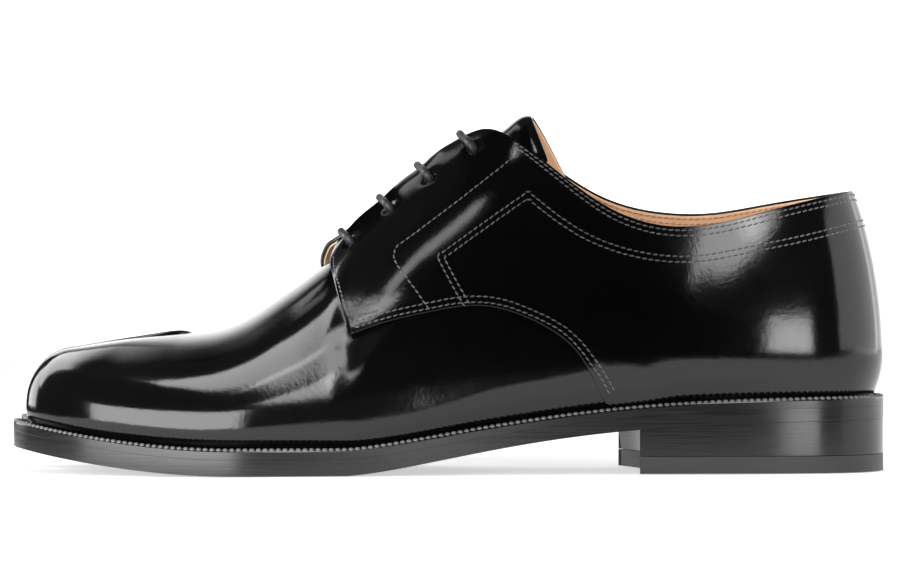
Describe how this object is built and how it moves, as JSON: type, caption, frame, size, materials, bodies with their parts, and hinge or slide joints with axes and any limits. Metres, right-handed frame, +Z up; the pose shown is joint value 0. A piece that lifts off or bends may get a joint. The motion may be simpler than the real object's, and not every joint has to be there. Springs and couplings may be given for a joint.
{
  "type": "split-toe lace-up shoe",
  "caption": "Polished black leather lace-up shoe for the left foot with a cleft toe, open-laced quarters, tan lining, welted leather sole and low stacked heel.",
  "frame": {"origin": "on the floor, below the middle of the shoe's length and width", "axes": "+X towards the heel and the toe towards -X, +Y towards the inner side of the foot, +Z up"},
  "size_m": [0.3, 0.1099, 0.1206],
  "materials": {
    "polished_leather": "high-shine black box calf",
    "lining_leather": "undyed tan lining, matt",
    "sole_edge_leather": "black ink and wax, satin",
    "stacked_leather": "black ink and wax over stacked lifts, satin",
    "heel_rubber": "black, matt",
    "waxed_lace": "black waxed cotton"
  },
  "bodies": {
    "root": {"upper": "polished_leather", "tongue": "polished_leather", "insole": "lining_leather", "welt": "sole_edge_leather", "outsole": "sole_edge_leather", "heel_stack": "stacked_leather", "top_piece": "heel_rubber", "lace_bar_1": "waxed_lace", "lace_bar_2": "waxed_lace", "lace_bar_3": "waxed_lace", "lace_bar_4": "waxed_lace"}
  },
  "joints": []
}
